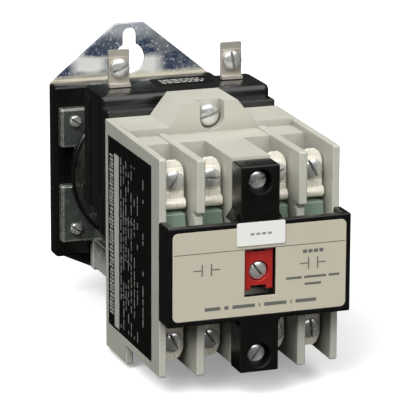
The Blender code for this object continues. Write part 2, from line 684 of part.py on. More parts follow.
def terminal(flip):
    """A terminal strip, upright face in front, going back and in to its fixed contact."""
    face, rear, thick = TERMINAL_FACE, CAVITY_REAR - 0.5, 1.6
    low, shelf, top = 20.6, 22.0, 37.0
    roll_at = (face + 0.1, 21.1)
    outline = [(face, roll_at[1]), (face, top), (face + thick, top), (face + thick, shelf)]
    outline += [(rear, shelf), (rear, 8.0), (rear - 1.4, 8.0), (rear - 1.4, low), (face + 0.5, low)]
    strip = extrude(outline, "x", -TERMINAL_HALF_W, TERMINAL_HALF_W)
    roll = []
    for i in range(12):
        turn = math.radians(30.0 * i)
        roll.append((roll_at[0] + LIP_R * math.cos(turn), roll_at[1] + LIP_R * math.sin(turn)))
    step = box(-TERMINAL_HALF_W + 0.2, TERMINAL_HALF_W - 0.2, face - 0.7, face + 0.5, 22.0, 25.2)
    join(strip, [extrude(roll, "x", -LIP_HALF_W, LIP_HALF_W)])
    join(strip, [step])
    tools = []
    for sign in (-1.0, 1.0):
        arch = [(1.5, 0.1), (1.5, 0.0), (2.8, -0.9), (3.7, -2.5), (4.3, -4.6), (6.0, -4.6), (6.0, 0.1)]
        corner = [(sign * x, top + z) for x, z in arch]
        tools.append(extrude(corner, "y", face - 1.0, face + thick + 1.0))
    tools.append(rod(0.0, TERMINAL_SCREW_Z, 2.2, face - 1.0, face + thick + 1.0, 12))
    tools.append(grip_groove(TERMINAL_HALF_W, TERMINAL_SCREW_Z, face))
    cut(strip, tools)
    join(strip, [rod(0.0, CONTACT_Z, 2.0, rear - 2.1, rear - 0.7, 12)])
    if flip:
        strip.data.transform(Matrix.Scale(-1.0, 4, Vector((0.0, 0.0, 1.0))))
        strip.data.flip_normals()
    return strip


def cartridge():
    """Moulded cartridge in front of one pole's contacts, open at the rear and slotted for the arm."""
    top, low = CARTRIDGE_TOP, -CARTRIDGE_TOP
    shoulder = [(4.0, top), (4.0, top - 2.2), (4.4, top - 4.4)]
    shoulder += [(x, -z) for x, z in reversed(shoulder)]
    outline = shoulder + [(-x, z) for x, z in reversed(shoulder)]
    front, rear = CARTRIDGE_FRONT, CARTRIDGE_FRONT + CARTRIDGE_DEEP
    body = bevel(extrude(outline, "y", front, rear), 0.4, 1)
    hollow = box(-3.0, 3.0, front + 1.6, rear + 1.0, low + 1.4, top - 1.4)
    slot = box(-6.0, 6.0, ARM_FRONT - 0.6, rear + 1.0, -ARM_HALF_H - 1.8, ARM_HALF_H + 0.4)
    return cut(body, [hollow, slot])


def bridge():
    """Moving contact bridge: a strip with a round contact at each end and a hole for its peg."""
    strip = box(-2.6, 2.6, 0.0, BRIDGE_THICK, -12.8, 12.8)
    strip = bevel(strip, 0.3, 1)
    tips = [rod(0.0, z, 2.0, BRIDGE_THICK - 0.4, BRIDGE_THICK + 0.6, 12) for z in (-CONTACT_Z, CONTACT_Z)]
    join(strip, tips)
    return cut(strip, [rod(0.0, 0.0, 1.4, -1.0, BRIDGE_THICK + 1.0, 10)])


def build_poles():
    """Terminals, screws, cartridges, moving bridges and contact springs of the four poles."""
    makers = (("upper_terminal_", terminal(False), NICKEL, POLE_MID_Z),
              ("lower_terminal_", terminal(True), NICKEL, LOWER_POLE_Z),
              ("contact_cartridge_", cartridge(), GREEN, POLE_MID_Z),
              ("moving_contact_", bridge(), BRASS, AXIS_Z + 0.6),
              ("contact_spring_", helix(0.0, 0.0, 2.0, 0.3, 0.0, 3.1, 3.0, 8, 4), STEEL, AXIS_Z + 0.6))
    depths = {"moving_contact_": BRIDGE_FRONT, "contact_spring_": ARM_REAR + GAP}
    for stem, solid, finish, z in makers:
        first = None
        for number, x in enumerate(POLE_X, 1):
            at = (x, depths.get(stem, 0.0), z)
            if first is None:
                first = name_part(solid, stem + str(number), finish, at)
            else:
                copy_part(first, stem + str(number), at)
    turns = {"upper": (58.0, 2.0, 20.0, -62.0), "lower": (30.0, 75.0, -40.0, 12.0)}
    seat = TERMINAL_FACE - 0.1
    first = None
    heights = (("upper", POLE_MID_Z + TERMINAL_SCREW_Z), ("lower", LOWER_POLE_Z - TERMINAL_SCREW_Z))
    for level, z in heights:
        for number, x in enumerate(POLE_X, 1):
            name = level + "_terminal_screw_" + str(number)
            if first is None:
                screw = slotted_screw(TERMINAL_HEAD_R, 2.3, 1.9, 8.0)
                first = name_part(screw, name, STEEL, (x, seat, z))
            else:
                copy_part(first, name, (x, seat, z))
            bpy.data.objects[name].rotation_euler = (0.0, math.radians(turns[level][number - 1]), 0.0)


# ---------------------------------------------------------------- moving core

def build_carrier():
    """Contact carrier: hub, cross arm with four pegs, and the stem to the plunger."""
    hub = bevel(box(-HUB_HALF_W, HUB_HALF_W, HUB_FRONT, HUB_REAR, -HUB_HALF_H - 0.8, HUB_HALF_H), 0.6, 1)
    arm = box(-30.2, 30.2, ARM_FRONT, ARM_REAR, -ARM_HALF_H, ARM_HALF_H)
    adds = [bevel(arm, 0.5, 1), rod(0.0, 0.0, STEM_R, HUB_REAR - 1.0, DISC_FRONT - GAP, 20)]
    adds += [rod(x, 0.6, 1.0, ARM_REAR - 1.0, 33.2, 8) for x in POLE_X]
    adds.append(rod(0.0, 0.0, 1.7, DISC_FRONT - 2.0, DISC_FRONT + 12.0, 12))
    join(hub, adds)
    holes = [rod(0.0, ACTUATOR_SCREW_Z, 1.7, HUB_FRONT - 1.0, 20.0, 16)]
    name_part(cut(hub, holes), "contact_carrier", BLACK)


def build_plunger():
    """Plunger with its front disc and the socket for the carrier's stem."""
    profile = [(0.0, DISC_FRONT), (21.0, DISC_FRONT), (21.6, DISC_FRONT + 0.6)]
    profile += [(21.6, DISC_REAR - 0.6), (21.0, DISC_REAR), (PLUNGER_R, DISC_REAR)]
    profile += [(PLUNGER_R, PLUNGER_REAR - 1.0), (PLUNGER_R - 1.0, PLUNGER_REAR), (0.0, PLUNGER_REAR)]
    body = lathe(profile, (0.0, 0.0, COIL_Z), 28)
    tools = [rod(0.0, 0.0, 2.0, DISC_FRONT - 1.0, DISC_FRONT + 14.0, 12)]
    name_part(cut(body, tools), "plunger", STEEL)


def build_return_spring():
    """Return spring around the stem, between the hub and the block's rear wall."""
    spring = helix(0.0, AXIS_Z, SPRING_R, SPRING_WIRE_R, HUB_REAR + GAP, 69.7, 8.0, 10, 4)
    name_part(spring, "return_spring", STEEL)


def build_actuator():
    """Red indicator button in the cover's window, screwed to the carrier's hub."""
    front, rear = ACTUATOR_FRONT, HUB_FRONT - GAP
    side, low, high = WINDOW_HALF_W - 0.35, WINDOW_LOW + 1.9, WINDOW_TOP - 0.35
    body = bevel(box(-side, side, front, rear, low, high), 0.4, 1)
    tools = [box(-2.5, 2.5, front - 1.0, rear + 1.0, 6.7, high + 1.0)]
    tools.append(box(-3.0, 3.0, front - 1.0, rear + 1.0, low - 1.0, -5.8))
    tools.append(rod(0.0, ACTUATOR_SCREW_Z, 3.8, front - 1.0, front + 2.4, 24))
    tools.append(rod(0.0, ACTUATOR_SCREW_Z, 1.7, front, rear + 1.0, 16))
    name_part(cut(body, tools), "red_actuator", RED)
    screw = slotted_screw(3.3, 2.0, 1.5, 13.0, 52.0, 18)
    name_part(screw, "actuator_screw", STEEL, (0.0, front + 2.3, ACTUATOR_SCREW_Z))


# ---------------------------------------------------------------- front cover

def build_cover():
    """Front cover with side skirts and an upper and a lower screw ear."""
    plate = box(-COVER_HALF_W, COVER_HALF_W, 0.0, COVER_PLATE, -COVER_HALF_H, COVER_HALF_H)
    body = bevel(plate, 0.7)
    adds = []
    for sign in (-1.0, 1.0):
        x0, x1 = sorted((sign * COVER_HALF_W, sign * (COVER_HALF_W - SKIRT_WALL)))
        adds.append(bevel(box(x0, x1, 0.4, COVER_DEEP, -COVER_HALF_H, COVER_HALF_H), 0.5, 1))
        tip = EAR_TOP if sign > 0.0 else EAR_LOW
        z0, z1 = sorted((sign * (COVER_HALF_H - 3.0), tip))
        adds.append(bevel(box(-EAR_HALF_W, EAR_HALF_W, 0.0, COVER_DEEP, z0, z1), 0.7))
        edge = sign * (COVER_HALF_H - 0.5)
        rise = sign * EAR_ROOT_RISE
        root = [(-EAR_ROOT_HALF_W, edge), (-EAR_HALF_W, edge + rise), (EAR_HALF_W, edge + rise),
                (EAR_ROOT_HALF_W, edge)]
        adds.append(extrude(root, "y", COVER_PLATE - 0.6, COVER_DEEP))
    join(body, adds)
    tools = [extrude(rounded(PANEL_HALF_W + GAP, -PANEL_HALF_H - GAP, PANEL_HALF_H + GAP, 2.2),
                     "y", -1.0, PANEL_RECESS)]
    tools.append(box(-WINDOW_HALF_W, WINDOW_HALF_W, -2.0, COVER_DEEP + 2.0, WINDOW_LOW, WINDOW_TOP))
    for z in (EAR_SCREW_TOP, EAR_SCREW_LOW):
        tools.append(rod(0.0, z, COUNTERBORE_R, -2.0, EAR_SCREW_FACE + 2.3, 28))
        tools.append(rod(0.0, z, 2.3, 1.0, COVER_DEEP + 1.0, 14))
    name_part(cut(body, tools), "front_cover", BLACK)


def build_nameplate():
    """Cream panel let into the cover, and the blank sticker over its upper edge."""
    front = PANEL_RECESS - GAP - PANEL_THICK
    panel = extrude(rounded(PANEL_HALF_W, -PANEL_HALF_H, PANEL_HALF_H, 2.0), "y", front,
                    front + PANEL_THICK)
    window = box(-WINDOW_HALF_W, WINDOW_HALF_W, -2.0, 3.0, WINDOW_LOW, WINDOW_TOP)
    name_part(cut(panel, [window]), "nameplate", CREAM)
    x0, x1, z0, z1 = STICKER
    mid = (x0 + x1) / 2.0
    outline = [(x + mid, z) for x, z in rounded((x1 - x0) / 2.0, z0, z1, 0.6, 2)]
    sticker = extrude(outline, "y", -0.2 - STICKER_THICK, -0.2)
    name_part(sticker, "sticker", WHITE)


def build_cover_screws():
    """Two slotted screws that hold the cover's ears to the block's centre column."""
    seat = EAR_SCREW_FACE + 2.2
    screw = slotted_screw(3.4, 2.2, 2.0, 19.0, -14.0, 18)
    first = name_part(screw, "cover_screw_upper", STEEL, (0.0, seat, EAR_SCREW_TOP))
    copy_part(first, "cover_screw_lower", (0.0, seat, EAR_SCREW_LOW), 75.0)


def clear_scene():
    """Start from an empty scene."""
    for obj in list(bpy.data.objects):
        bpy.data.objects.remove(obj)


def main():
    """Build every part."""
    clear_scene()
    build_mounting_plate()
    build_base_block()
    build_yoke()
    build_yoke_screws()
    build_core()
    build_pole_plate()
    build_coil()
    build_housing()
    build_housing_screws()
    build_coil_terminals()
    build_block()
    build_block_screws()
    build_poles()
    build_carrier()
    build_plunger()
    build_return_spring()
    build_actuator()
    build_cover()
    build_nameplate()
    build_cover_screws()


main()
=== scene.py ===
"""Looks of a four-pole control relay: finer screws, coil and springs, softened edges, finishes and light.

The object's frame is in metres: X to the right seen from the front, +Y back into the wall, +Z up.
Patterns in the materials and the printed marks are laid out in millimetres.
"""

import math
import random

import bmesh
import bpy
from mathutils import Matrix, Vector


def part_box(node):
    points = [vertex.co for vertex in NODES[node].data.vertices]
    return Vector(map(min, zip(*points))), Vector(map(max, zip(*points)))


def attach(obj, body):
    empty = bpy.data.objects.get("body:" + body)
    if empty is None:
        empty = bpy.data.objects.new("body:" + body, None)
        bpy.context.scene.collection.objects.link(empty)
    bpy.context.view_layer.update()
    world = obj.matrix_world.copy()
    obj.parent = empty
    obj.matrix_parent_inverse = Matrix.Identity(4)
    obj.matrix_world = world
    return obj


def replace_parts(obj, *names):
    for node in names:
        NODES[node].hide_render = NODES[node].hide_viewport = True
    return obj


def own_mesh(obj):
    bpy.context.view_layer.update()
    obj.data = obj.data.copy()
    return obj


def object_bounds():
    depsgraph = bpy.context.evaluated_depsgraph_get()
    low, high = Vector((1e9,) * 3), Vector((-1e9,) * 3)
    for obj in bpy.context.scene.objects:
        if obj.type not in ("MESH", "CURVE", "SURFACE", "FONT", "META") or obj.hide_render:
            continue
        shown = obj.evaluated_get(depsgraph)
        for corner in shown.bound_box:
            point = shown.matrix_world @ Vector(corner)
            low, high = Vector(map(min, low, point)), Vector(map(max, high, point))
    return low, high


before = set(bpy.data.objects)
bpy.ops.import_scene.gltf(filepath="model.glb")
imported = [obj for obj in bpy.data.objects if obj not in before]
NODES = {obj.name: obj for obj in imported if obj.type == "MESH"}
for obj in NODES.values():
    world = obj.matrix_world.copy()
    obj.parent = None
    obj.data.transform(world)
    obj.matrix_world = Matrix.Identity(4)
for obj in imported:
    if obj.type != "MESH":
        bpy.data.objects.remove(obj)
cad_low, cad_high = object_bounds()
MM = 0.001
RAMP_SOCKETS = ("From Min", "From Max", "To Min", "To Max")

# Room and floor brightness, as the object and the lens see them
ROOM_DIM, SKY_BRIGHT, WALL_BRIGHT = 0.05, 0.35, 1.0
FLOOR_IN_REFLECTIONS = (0.022, 0.022, 0.021)
FLOOR_GLOW = 0.28

# Zinc plate, in millimetres: the straw band's upper edge (straw tint with a painted reflection), the
# painted shade below it, the painted reflection patches above it
STRAW_AND_SHEEN_FADE = (42.6, 40.6)
PAINTED_SHADE_FADE = (37.0, 31.0)
REFLECTION_PATCH_X = (-17.0, 6.0)
REFLECTION_PATCH_Z = 45.5

# Yoke: a painted highlight makes it bright below this height in millimetres
YOKE_HIGHLIGHT_BELOW = -22.5

# Screws, in millimetres: head radius, head height, shank radius, shank length
SCREW_SIZES = {
    "terminal_screw": (3.7, 2.3, 1.9, 8.0),
    "coil_screw": (3.7, 2.3, 1.9, 5.0),
    "block_screw": (4.0, 2.3, 2.2, 30.0),
    "cover_screw": (3.4, 2.2, 2.0, 19.0),
    "yoke_screw": (2.3, 1.7, 1.5, 14.5),
    "housing_screw": (3.1, 2.0, 1.5, 12.4),
    "actuator_screw": (3.3, 2.0, 1.5, 13.0),
}

# Printed relief over a label's face, in millimetres
PRINT_UNDER, PRINT_OVER = 0.02, 0.02
RULE_Z = (8.15, 8.45)
STICKER_BAR_Z = (13.5, 14.3)
POLES = (1, 2, 3, 4)
LEVELS = ("upper", "lower")
SIDES = ("left", "right")


# ---------------------------------------------------------------- node helper

class Look:
    """A Principled material, with short ways to add nodes. Its patterns are in millimetres."""

    def __init__(self, name):
        self.mat = bpy.data.materials.new(name)
        self.mat.use_nodes = True
        self.tree = self.mat.node_tree
        self.shader = next(n for n in self.tree.nodes if n.type == "BSDF_PRINCIPLED")
        coords = self.tree.nodes.new("ShaderNodeTexCoord")
        self.mm = self.vector("SCALE", coords.outputs["Object"], scale=1.0 / MM)
        self.height = None

    def feed(self, socket, value):
        """Wire a socket or set a plain value."""
        if isinstance(value, bpy.types.NodeSocket):
            self.tree.links.new(value, socket)
        elif isinstance(value, tuple) and len(value) == 3 and socket.type == "RGBA":
            socket.default_value = (*value, 1.0)
        else:
            socket.default_value = value

    def vector(self, operation, first, second=None, scale=None):
        node = self.tree.nodes.new("ShaderNodeVectorMath")
        node.operation = operation
        self.feed(node.inputs[0], first)
        if second is not None:
            self.feed(node.inputs[1], second)
        if scale is not None:
            node.inputs["Scale"].default_value = scale
        return node.outputs[0]

    def axis(self, letter):
        """One coordinate, in millimetres."""
        node = self.tree.nodes.new("ShaderNodeSeparateXYZ")
        self.feed(node.inputs[0], self.mm)
        return node.outputs[letter]

    def math(self, operation, first, second=0.0):
        node = self.tree.nodes.new("ShaderNodeMath")
        node.operation = operation
        self.feed(node.inputs[0], first)
        self.feed(node.inputs[1], second)
        return node.outputs[0]

    def noise(self, per_mm, detail=3.0, stretch=(1.0, 1.0, 1.0), warp=0.0):
        """Noise of so many blotches a millimetre, from 0 to 1."""
        node = self.tree.nodes.new("ShaderNodeTexNoise")
        self.feed(node.inputs["Vector"], self.vector("MULTIPLY", self.mm, stretch))
        node.inputs["Scale"].default_value = per_mm
        node.inputs["Detail"].default_value = detail
        node.inputs["Distortion"].default_value = warp
        return node.outputs["Fac"]

    def cells(self, per_mm):
        """Random grey for each cell of a Voronoi pattern."""
        node = self.tree.nodes.new("ShaderNodeTexVoronoi")
        self.feed(node.inputs["Vector"], self.mm)
        node.inputs["Scale"].default_value = per_mm
        parts = self.tree.nodes.new("ShaderNodeSeparateColor")
        self.feed(parts.inputs[0], node.outputs["Color"])
        return parts.outputs[0]

    def span(self, value, low, high, out_low=0.0, out_high=1.0):
        """Straight ramp from low..high to out_low..out_high, clamped."""
        node = self.tree.nodes.new("ShaderNodeMapRange")
        self.feed(node.inputs["Value"], value)
        for key, number in zip(RAMP_SOCKETS, (low, high, out_low, out_high)):
            node.inputs[key].default_value = number
        return node.outputs[0]

    def mix(self, share, first, second):
        node = self.tree.nodes.new("ShaderNodeMix")
        node.data_type = "RGBA"
        colours = [s for s in node.inputs if s.type == "RGBA"]
        self.feed(node.inputs[0], share)
        self.feed(colours[0], first)
        self.feed(colours[1], second)
        return next(s for s in node.outputs if s.type == "RGBA")

    def edges(self, radius_mm):
        """1 near the piece's edges, 0 on its faces."""
        soft = self.tree.nodes.new("ShaderNodeBevel")
        soft.samples = 4
        soft.inputs["Radius"].default_value = radius_mm * MM
        plain = self.tree.nodes.new("ShaderNodeNewGeometry")
        node = self.tree.nodes.new("ShaderNodeVectorMath")
        node.operation = "DOT_PRODUCT"
        self.feed(node.inputs[0], soft.outputs[0])
        self.feed(node.inputs[1], plain.outputs["Normal"])
        return self.span(node.outputs["Value"], 0.995, 0.90)

    def crevice(self, reach_mm):
        """1 deep in slots and corners, 0 in the open."""
        node = self.tree.nodes.new("ShaderNodeAmbientOcclusion")
        node.samples = 6
        node.only_local = True
        node.inputs["Distance"].default_value = reach_mm * MM
        return self.span(node.outputs["AO"], 0.8, 0.2)

    def bump(self, height, depth_mm):
        """Add relief, depth_mm deep, on top of the relief so far."""
        node = self.tree.nodes.new("ShaderNodeBump")
        node.inputs["Strength"].default_value = 1.0
        node.inputs["Distance"].default_value = depth_mm * MM
        self.feed(node.inputs["Height"], height)
        if self.height is not None:
            self.feed(node.inputs["Normal"], self.height)
        self.height = node.outputs[0]

    def done(self, colour, roughness, metallic=0.0, coat=0.0, specular=0.5):
        """Wire the finish and give back the material."""
        self.feed(self.shader.inputs["Base Color"], colour)
        self.feed(self.shader.inputs["Roughness"], roughness)
        self.feed(self.shader.inputs["Metallic"], metallic)
        self.shader.inputs["Specular IOR Level"].default_value = specular
        self.shader.inputs["Coat Weight"].default_value = coat
        self.shader.inputs["Coat Roughness"].default_value = 0.12
        if self.height is not None:
            self.feed(self.shader.inputs["Normal"], self.height)
        return self.mat


def shade(colour, factor):
    """The same colour, lighter or darker."""
    return tuple(min(1.0, part * factor) for part in colour)


# ---------------------------------------------------------------- finishes

def moulded(name, colour, roughness, grain_mm=0.012, worn=0.25, coat=0.0, specular=0.5, pocket_shade=0.0):
    """Moulded plastic: soft clouding, fine spark-eroded grain, rubbed edges, painted shade deep in pockets.
    """
    look = Look(name)
    cloud = look.noise(0.035, 4.0)
    speck = look.noise(1.7, 2.0)
    base = look.mix(look.span(cloud, 0.35, 0.65), shade(colour, 0.93), shade(colour, 1.05))
    base = look.mix(look.span(speck, 0.55, 0.75, 0.0, 0.35), base, shade(colour, 0.86))
    edge = look.math("MULTIPLY", look.edges(0.5), look.span(look.noise(0.22, 4.0), 0.4, 0.7))
    lighter = tuple(part + (0.75 - part) * 0.35 for part in colour)
    base = look.mix(look.math("MULTIPLY", edge, worn), base, lighter)
    # Painted shade: darker deep in pockets and corners.
    if pocket_shade > 0.0:
        base = look.mix(look.math("MULTIPLY", look.crevice(14.0), pocket_shade), base, shade(colour, 0.3))
    rough = look.span(look.noise(0.12, 5.0), 0.3, 0.7, roughness - 0.06, roughness + 0.08)
    rough = look.math("SUBTRACT", rough, look.math("MULTIPLY", edge, 0.12))
    look.bump(look.noise(3.2, 3.0), grain_mm)
    look.bump(look.noise(0.05, 2.0), 0.06)
    return look.done(base, rough, coat=coat, specular=specular)


def zinc_plate(name):
    """Bright zinc: dark blue-grey and pale patches, thin rolling lines, a straw-coloured low band; painted
    reflections make the top and two patches pale and brighten the straw band, and painted shade darkens the
    bottom.
    """
    look = Look(name)
    x, z = look.axis("X"), look.axis("Z")
    sway = look.span(look.noise(0.06, 1.0), 0.25, 0.75, -2.5, 2.5)
    level = look.math("ADD", z, sway)
    blue, pale, straw = (0.045, 0.065, 0.12), (0.62, 0.66, 0.70), (0.93, 0.88, 0.70)
    base = look.mix(look.span(look.noise(0.10, 3.0, warp=0.4), 0.42, 0.66), blue, shade(pale, 0.42))
    # Painted reflection: the plate turns paler towards the top.
    base = look.mix(look.span(level, 55.0, 60.0, 0.0, 0.7), base, pale)
    base = look.mix(look.span(look.noise(0.9, 4.0), 0.54, 0.70, 0.0, 0.5), base, pale)
    base = look.mix(look.span(look.cells(1.5), 0.93, 0.96, 0.0, 0.55), base, (0.9, 0.92, 0.94))
    # Painted reflections: two pale patches above the straw band.
    for centre in REFLECTION_PATCH_X:
        off_x = look.math("ABSOLUTE", look.math("SUBTRACT", x, centre))
        off_z = look.math("ABSOLUTE", look.math("SUBTRACT", level, REFLECTION_PATCH_Z))
        painted_reflection = look.math("MULTIPLY", look.span(off_x, 9.0, 4.0), look.span(off_z, 4.5, 2.5))
        base = look.mix(painted_reflection, base, (0.97, 0.97, 0.92))
    # Straw band: straw tint of the plating, brightened as a painted reflection.
    lines = look.noise(0.8, 3.0, (0.05, 1.0, 1.6))
    straw_and_sheen = look.mix(look.span(lines, 0.5, 0.68), straw, shade(straw, 0.5))
    wavy = look.math("ADD", z, look.math("MULTIPLY", sway, 0.2))
    base = look.mix(look.span(wavy, *STRAW_AND_SHEEN_FADE), base, straw_and_sheen)
    # Painted shade: the plate darkens towards the bottom.
    base = look.mix(look.span(z, *PAINTED_SHADE_FADE), base, (0.20, 0.24, 0.22))
    rough = look.span(look.noise(0.3, 5.0), 0.3, 0.7, 0.16, 0.38)
    look.bump(look.noise(0.05, 2.0), 0.15)
    return look.done(base, rough, 0.3)


def plated_steel(name, colour, roughness, tint=(0.86, 0.9, 0.95), metallic=0.85, highlight_below=None):
    """Plated steel pressing: cloudy plating with paler patches, paler edges as a painted highlight, a
    painted highlight below a given height.
    """
    look = Look(name)
    cloud = look.span(look.noise(0.18, 5.0, warp=0.4), 0.35, 0.65)
    base = look.mix(cloud, shade(colour, 0.75), colour)
    base = look.mix(look.span(look.noise(0.09, 3.0, warp=0.5), 0.56, 0.72, 0.0, 0.45), base, tint)
    # Painted highlight: paler along the edges.
    base = look.mix(look.math("MULTIPLY", look.edges(0.9), 0.8), base, tint)
    # Painted highlight: paler below the given height.
    if highlight_below is not None:
        base = look.mix(look.span(look.axis("Z"), highlight_below, highlight_below - 8.0, 0.0, 0.9), base, tint)
    fine = look.noise(1.1, 4.0)
    rough = look.span(fine, 0.3, 0.7, roughness - 0.07, roughness + 0.12)
    look.bump(look.noise(0.09, 2.0), 0.06)
    return look.done(base, rough, metallic)


def drawn_strip(name, colour, roughness, metallic):
    """Nickel-plated or brass strip: lines along its length, tarnish in patches."""
    look = Look(name)
    lines = look.noise(1.5, 2.0, (1.0, 1.0, 0.08))
    tarnish = look.span(look.noise(0.25, 3.0), 0.5, 0.75)
    base = look.mix(tarnish, colour, shade(colour, 0.86))
    base = look.mix(look.math("MULTIPLY", look.edges(0.35), 0.5), base, (0.97, 0.95, 0.90))
    rough = look.span(lines, 0.3, 0.7, roughness - 0.03, roughness + 0.04)
    look.bump(lines, 0.0001)
    return look.done(base, rough, metallic)


def turned_steel(name):
    """Plated screw: bright, faintly clouded, finely pitted, painted shade down in the slot."""
    look = Look(name)
    cloud = look.span(look.noise(0.25, 1.0), 0.35, 0.7)
    base = look.mix(cloud, (0.78, 0.78, 0.76), (0.92, 0.92, 0.89))
    base = look.mix(look.span(look.noise(2.6, 2.0), 0.5, 0.8, 0.0, 0.25), base, (0.50, 0.49, 0.47))
    # Painted shade: near black down in the slot.
    base = look.mix(look.crevice(1.2), base, (0.05, 0.048, 0.045))
    rough = look.span(look.noise(0.5, 1.0), 0.3, 0.7, 0.22, 0.28)
    look.bump(look.noise(0.25, 1.0), 0.02)
    return look.done(base, rough, 0.7)


def taped_winding(name):
    """Varnished tape on the coil, in overlapping turns."""
    look = Look(name)
    wave = look.math("SINE", look.math("MULTIPLY", look.axis("Y"), 1.6))
    patches = look.span(look.noise(0.2, 4.0), 0.35, 0.7)
    colour = look.mix(patches, (0.012, 0.011, 0.010), (0.05, 0.045, 0.04))
    look.bump(wave, 0.05)
    look.bump(look.noise(1.2, 3.0), 0.03)
    rough = look.span(look.noise(0.3, 4.0), 0.3, 0.7, 0.22, 0.42)
    return look.done(colour, rough, coat=0.3)


def panel_finish(name, colour, roughness, specular=0.5):
    """Printed foil panel: very fine brushing and faint handling marks."""
    look = Look(name)
    brushed = look.noise(3.0, 2.0, (0.04, 1.0, 1.0))
    base = look.mix(look.span(brushed, 0.3, 0.7), shade(colour, 0.99), shade(colour, 1.01))
    base = look.mix(look.span(look.noise(0.05, 4.0), 0.5, 0.8, 0.0, 0.4), base, shade(colour, 0.93))
    rough = look.span(look.noise(0.2, 5.0), 0.3, 0.7, roughness - 0.06, roughness + 0.08)
    look.bump(brushed, 0.002)
    return look.done(base, rough, specular=specular)


def paper_finish(name, colour):
    """Matte printed or paper surface."""
    look = Look(name)
    fibre = look.noise(2.4, 5.0)
    base = look.mix(look.span(fibre, 0.35, 0.65), shade(colour, 0.95), colour)
    rough = look.span(look.noise(0.5, 3.0), 0.3, 0.7, 0.5, 0.66)
    look.bump(fibre, 0.01)
    return look.done(base, rough)


def floor_finish():
    """Pale floor. Only the lens sees it pale: in reflections and bounced light it is dimmer."""
    look = Look("pale_floor")
    base = look.mix(look.span(look.noise(0.01, 3.0), 0.3, 0.7), (0.94, 0.94, 0.935), (0.97, 0.97, 0.965))
    path = look.tree.nodes.new("ShaderNodeLightPath")
    lens = path.outputs["Is Camera Ray"]
    base = look.mix(lens, FLOOR_IN_REFLECTIONS, base)
    look.shader.inputs["Emission Color"].default_value = (1.0, 1.0, 1.0, 1.0)
    look.feed(look.shader.inputs["Emission Strength"], look.math("MULTIPLY", lens, FLOOR_GLOW))
    return look.done(base, 0.8, specular=0.0)


GREY_COLOUR = (0.545, 0.54, 0.465)
CREAM_COLOUR = (0.595, 0.557, 0.437)
LOOKS = {
    "zinc_plate": zinc_plate("zinc_plate"),
    "yoke_plate": plated_steel("yoke_plate", (0.12, 0.135, 0.12), 0.24, tint=(0.90, 0.92, 0.84),
                               metallic=0.45, highlight_below=YOKE_HIGHLIGHT_BELOW),
    "black_moulding": moulded("black_moulding", (0.0042, 0.0041, 0.0035), 0.30, grain_mm=0.006,
                              worn=0.06, coat=0.15, specular=0.45),
    "housing_black": moulded("housing_black", (0.0055, 0.0054, 0.0047), 0.30, grain_mm=0.005,
                             worn=0.07, coat=0.35, specular=0.5),
    "grey_moulding": moulded("grey_moulding", GREY_COLOUR, 0.50, pocket_shade=0.8),
    "winding_tape": taped_winding("winding_tape"),
    "soft_iron": plated_steel("soft_iron", (0.42, 0.42, 0.41), 0.38),
    "screw_steel": turned_steel("screw_steel"),
    "nickel_strip": drawn_strip("nickel_strip", (1.0, 0.95, 0.82), 0.28, metallic=0.12),
    "dull_strip": drawn_strip("dull_strip", (0.54, 0.50, 0.43), 0.34, metallic=0.5),
    "contact_brass": drawn_strip("contact_brass", (0.80, 0.62, 0.34), 0.28, metallic=0.8),
    "spring_steel": plated_steel("spring_steel", (0.55, 0.55, 0.55), 0.32),
    "green_moulding": moulded("green_moulding", (0.23, 0.32, 0.245), 0.38, grain_mm=0.015, worn=0.3),
    "red_moulding": moulded("red_moulding", (0.42, 0.022, 0.018), 0.36, grain_mm=0.008, worn=0.2),
    "cream_panel": panel_finish("cream_panel", CREAM_COLOUR, 0.46),
    "label_black": panel_finish("label_black", (0.003, 0.003, 0.0027), 0.38, specular=0.3),
    "label_white": paper_finish("label_white", (0.93, 0.93, 0.89)),
    "print_dark": paper_finish("print_dark", (0.15, 0.15, 0.135)),
    "print_light": paper_finish("print_light", (0.56, 0.55, 0.50)),
    "print_dim": paper_finish("print_dim", (0.30, 0.30, 0.28)),
}


# ---------------------------------------------------------------- mesh helpers

def new_piece(name, bm, look, smooth_deg=35.0):
    """A new piece from a bmesh that is laid out in millimetres."""
    bmesh.ops.recalc_face_normals(bm, faces=bm.faces)
    bmesh.ops.scale(bm, vec=(MM, MM, MM), verts=bm.verts)
    mesh = bpy.data.meshes.new(name)
    bm.to_mesh(mesh)
    bm.free()
    mesh.shade_smooth()
    mesh.set_sharp_from_angle(angle=math.radians(smooth_deg))
    obj = bpy.data.objects.new(name, mesh)
    bpy.context.scene.collection.objects.link(obj)
    mesh.materials.append(LOOKS[look])
    return obj


def turned(profile, segments):
    """A turned shape about Y from (radius, y) points, front to rear."""
    bm = bmesh.new()
    rings = []
    for radius, y in profile:
        count = segments if radius > 0.0 else 1
        turns = [2.0 * math.pi * i / segments for i in range(count)]
        rings.append([bm.verts.new((radius * math.cos(t), y, radius * math.sin(t))) for t in turns])
    for first, second in zip(rings, rings[1:]):
        for i in range(segments):
            j = (i + 1) % segments
            loop = [first[i % len(first)], first[j % len(first)]]
            loop += [second[j % len(second)], second[i % len(second)]]
            loop = list(dict.fromkeys(loop))
            if len(loop) > 2:
                bm.faces.new(loop)
    return bm


def add_block(bm, x0, x1, y0, y1, z0, z1):
    """A closed box between three pairs of limits."""
    made = bmesh.ops.create_cube(bm, size=1.0)["verts"]
    for vert in made:
        sides = zip(vert.co, (x0, y0, z0), (x1, y1, z1))
        vert.co = [low if part < 0.0 else high for part, low, high in sides]


def blocks_piece(name, blocks, look):
    """One piece made of many thin printed blocks, on the frame."""
    bm = bmesh.new()
    for block in blocks:
        add_block(bm, *block)
    piece = new_piece(name, bm, look)
    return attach(piece, "frame")


